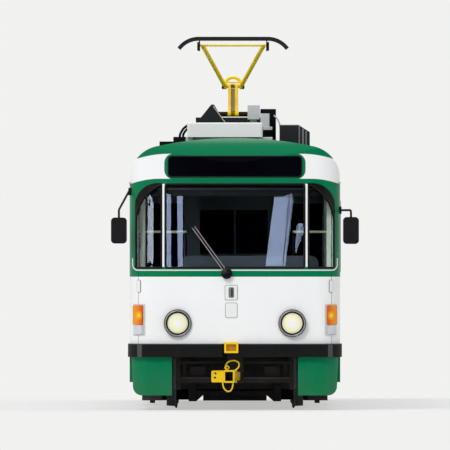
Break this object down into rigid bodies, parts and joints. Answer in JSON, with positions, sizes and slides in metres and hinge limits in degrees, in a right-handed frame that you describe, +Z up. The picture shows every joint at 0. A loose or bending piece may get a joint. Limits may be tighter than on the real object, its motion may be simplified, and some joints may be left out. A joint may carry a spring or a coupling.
{
  "type": "tram",
  "caption": "Single-ended high-floor tram on two bogies, with folding doors, bowed raked ends and a single-arm pantograph.",
  "frame": {"origin": "middle of the bounding box at the foot of the wheel flanges", "axes": "+Z up; the front faces -Y and the rails run along Y; the doors are in the -X side"},
  "size_m": [2.94, 13.9994, 4.46],
  "materials": {
    "amber_lens": "clear",
    "black_panel": "gloss",
    "body_paint": "gloss",
    "bumper_rubber": "matt",
    "carbon": "matt",
    "dark_steel": "satin",
    "floor_covering": "matt",
    "glass": "clear",
    "grey_paint": "satin",
    "interior_panel": "matt",
    "lamp_lens": "clear",
    "red_lens": "clear",
    "seat_shell": "matt",
    "wheel_steel": "worn",
    "white_paint": "gloss",
    "yellow_paint": "gloss"
  },
  "bodies": {
    "car": {"bumper_sockets": "yellow_paint", "cab_partition": "interior_panel", "corner_lamps": "amber_lens", "destination_display": "black_panel", "driver_desk": "black_panel", "driver_seat": "seat_shell", "equipment_boxes": "dark_steel", "floor": "floor_covering", "front_bumper": "bumper_rubber", "front_end": "body_paint", "grab_poles": "yellow_paint", "guard_frame": "dark_steel", "headlamps": "lamp_lens", "left_seats": "seat_shell", "left_side_wall": "body_paint", "left_windows": "glass", "lifeguard": "dark_steel", "mirrors": "black_panel", "pantograph_base": "dark_steel", "rear_bumper": "bumper_rubber", "rear_end": "body_paint", "rear_window": "glass", "resistor_box": "dark_steel", "right_seats": "seat_shell", "right_side_wall": "body_paint", "right_windows": "glass", "roof": "body_paint", "roof_box": "white_paint", "roof_cabinets": "grey_paint", "step_wells": "grey_paint", "tail_lamps": "red_lens", "underframe": "dark_steel", "windscreen": "glass"},
    "front_bogie": {"front_bogie_frame": "dark_steel", "front_motors": "dark_steel"},
    "front_leading_axle": {"front_bogie_leading_wheelset": "wheel_steel"},
    "front_trailing_axle": {"front_bogie_trailing_wheelset": "wheel_steel"},
    "front_drawgear": {"front_coupler": "yellow_paint"},
    "rear_bogie": {"rear_bogie_frame": "dark_steel", "rear_motors": "dark_steel"},
    "rear_leading_axle": {"rear_bogie_leading_wheelset": "wheel_steel"},
    "rear_trailing_axle": {"rear_bogie_trailing_wheelset": "wheel_steel"},
    "rear_drawgear": {"rear_coupler": "yellow_paint"},
    "front_door_aft_inner": {"front_door_aft_inner_leaf": "body_paint"},
    "front_door_aft_outer": {"front_door_aft_outer_leaf": "body_paint"},
    "front_door_fore_inner": {"front_door_fore_inner_leaf": "body_paint"},
    "front_door_fore_outer": {"front_door_fore_outer_leaf": "body_paint"},
    "middle_door_aft_inner": {"middle_door_aft_inner_leaf": "body_paint"},
    "middle_door_aft_outer": {"middle_door_aft_outer_leaf": "body_paint"},
    "middle_door_fore_inner": {"middle_door_fore_inner_leaf": "body_paint"},
    "middle_door_fore_outer": {"middle_door_fore_outer_leaf": "body_paint"},
    "rear_door_aft_inner": {"rear_door_aft_inner_leaf": "body_paint"},
    "rear_door_aft_outer": {"rear_door_aft_outer_leaf": "body_paint"},
    "rear_door_fore_inner": {"rear_door_fore_inner_leaf": "body_paint"},
    "rear_door_fore_outer": {"rear_door_fore_outer_leaf": "body_paint"},
    "pantograph_lower": {"lower_arm": "yellow_paint"},
    "pantograph_upper": {"upper_arm": "yellow_paint"},
    "pantograph_head": {"collector_head": "carbon"},
    "wiper_arm": {"wiper": "dark_steel"}
  },
  "joints": [
    {"name": "front_bogie_swivel", "type": "hinge", "parent": "car", "child": "front_bogie", "pos_m": [0, -3.2, 0.7], "axis": [0, 0, 1], "range_deg": [-9.5, 9.5]},
    {"name": "front_leading_axle_spin", "type": "hinge", "parent": "front_bogie", "child": "front_leading_axle", "pos_m": [0, -4.15, 0.377], "axis": [1, 0, 0], "continuous": true},
    {"name": "front_trailing_axle_spin", "type": "hinge", "parent": "front_bogie", "child": "front_trailing_axle", "pos_m": [0, -2.25, 0.377], "axis": [1, 0, 0], "continuous": true},
    {"name": "rear_bogie_swivel", "type": "hinge", "parent": "car", "child": "rear_bogie", "pos_m": [0, 3.2, 0.7], "axis": [0, 0, 1], "range_deg": [-9.5, 9.5]},
    {"name": "rear_leading_axle_spin", "type": "hinge", "parent": "rear_bogie", "child": "rear_leading_axle", "pos_m": [0, 2.25, 0.377], "axis": [1, 0, 0], "continuous": true},
    {"name": "rear_trailing_axle_spin", "type": "hinge", "parent": "rear_bogie", "child": "rear_trailing_axle", "pos_m": [0, 4.15, 0.377], "axis": [1, 0, 0], "continuous": true},
    {"name": "front_coupler_swing", "type": "hinge", "parent": "car", "child": "front_drawgear", "pos_m": [0, -6.53, 0.4], "axis": [0, 0, 1], "range_deg": [-4, 26]},
    {"name": "rear_coupler_swing", "type": "hinge", "parent": "car", "child": "rear_drawgear", "pos_m": [0, 6.53, 0.4], "axis": [0, 0, 1], "range_deg": [-26, 4]},
    {"name": "front_door_fore_outer_fold", "type": "hinge", "parent": "car", "child": "front_door_fore_outer", "pos_m": [-1.22, -6.026, 1.465], "axis": [0, 0, -1], "range_deg": [0, 85]},
    {"name": "front_door_fore_inner_fold", "type": "hinge", "parent": "front_door_fore_outer", "child": "front_door_fore_inner", "pos_m": [-1.24, -5.723, 1.465], "axis": [0, 0, 1], "range_deg": [0, 170]},
    {"name": "front_door_aft_outer_fold", "type": "hinge", "parent": "car", "child": "front_door_aft_outer", "pos_m": [-1.22, -4.774, 1.465], "axis": [0, 0, 1], "range_deg": [0, 85]},
    {"name": "front_door_aft_inner_fold", "type": "hinge", "parent": "front_door_aft_outer", "child": "front_door_aft_inner", "pos_m": [-1.24, -5.077, 1.465], "axis": [0, 0, -1], "range_deg": [0, 170]},
    {"name": "middle_door_fore_outer_fold", "type": "hinge", "parent": "car", "child": "middle_door_fore_outer", "pos_m": [-1.22, -0.626, 1.465], "axis": [0, 0, -1], "range_deg": [0, 85]},
    {"name": "middle_door_fore_inner_fold", "type": "hinge", "parent": "middle_door_fore_outer", "child": "middle_door_fore_inner", "pos_m": [-1.24, -0.323, 1.465], "axis": [0, 0, 1], "range_deg": [0, 170]},
    {"name": "middle_door_aft_outer_fold", "type": "hinge", "parent": "car", "child": "middle_door_aft_outer", "pos_m": [-1.22, 0.626, 1.465], "axis": [0, 0, 1], "range_deg": [0, 85]},
    {"name": "middle_door_aft_inner_fold", "type": "hinge", "parent": "middle_door_aft_outer", "child": "middle_door_aft_inner", "pos_m": [-1.24, 0.323, 1.465], "axis": [0, 0, -1], "range_deg": [0, 170]},
    {"name": "rear_door_fore_outer_fold", "type": "hinge", "parent": "car", "child": "rear_door_fore_outer", "pos_m": [-1.22, 4.774, 1.465], "axis": [0, 0, -1], "range_deg": [0, 85]},
    {"name": "rear_door_fore_inner_fold", "type": "hinge", "parent": "rear_door_fore_outer", "child": "rear_door_fore_inner", "pos_m": [-1.24, 5.077, 1.465], "axis": [0, 0, 1], "range_deg": [0, 170]},
    {"name": "rear_door_aft_outer_fold", "type": "hinge", "parent": "car", "child": "rear_door_aft_outer", "pos_m": [-1.22, 6.026, 1.465], "axis": [0, 0, 1], "range_deg": [0, 85]},
    {"name": "rear_door_aft_inner_fold", "type": "hinge", "parent": "rear_door_aft_outer", "child": "rear_door_aft_inner", "pos_m": [-1.24, 5.723, 1.465], "axis": [0, 0, -1], "range_deg": [0, 170]},
    {"name": "pantograph_raise", "type": "hinge", "parent": "car", "child": "pantograph_lower", "pos_m": [-0.02, -2.9, 3.53], "axis": [1, 0, 0], "range_deg": [-11, 42]},
    {"name": "pantograph_knee", "type": "hinge", "parent": "pantograph_lower", "child": "pantograph_upper", "pos_m": [-0.02, -1.64717, 3.877], "axis": [-1, 0, 0], "range_deg": [-20.02, 76.44]},
    {"name": "collector_level", "type": "hinge", "parent": "pantograph_upper", "child": "pantograph_head", "pos_m": [-0.02, -3.06863, 4.356], "axis": [1, 0, 0], "range_deg": [-9.02, 34.44]},
    {"name": "wiper_sweep", "type": "hinge", "parent": "car", "child": "wiper_arm", "pos_m": [-0.097, -6.93738, 1.615], "axis": [0, -0.9851, 0.1717], "range_deg": [-80, 15]}
  ],
  "couplings": [
    {"joint": "front_door_fore_inner_fold", "follows": "front_door_fore_outer_fold", "ratio": 2},
    {"joint": "front_door_aft_outer_fold", "follows": "front_door_fore_outer_fold", "ratio": 1},
    {"joint": "front_door_aft_inner_fold", "follows": "front_door_fore_outer_fold", "ratio": 2},
    {"joint": "middle_door_fore_inner_fold", "follows": "middle_door_fore_outer_fold", "ratio": 2},
    {"joint": "middle_door_aft_outer_fold", "follows": "middle_door_fore_outer_fold", "ratio": 1},
    {"joint": "middle_door_aft_inner_fold", "follows": "middle_door_fore_outer_fold", "ratio": 2},
    {"joint": "rear_door_fore_inner_fold", "follows": "rear_door_fore_outer_fold", "ratio": 2},
    {"joint": "rear_door_aft_outer_fold", "follows": "rear_door_fore_outer_fold", "ratio": 1},
    {"joint": "rear_door_aft_inner_fold", "follows": "rear_door_fore_outer_fold", "ratio": 2},
    {"joint": "pantograph_knee", "follows": "pantograph_raise", "ratio": 1.82},
    {"joint": "collector_level", "follows": "pantograph_raise", "ratio": 0.82}
  ]
}
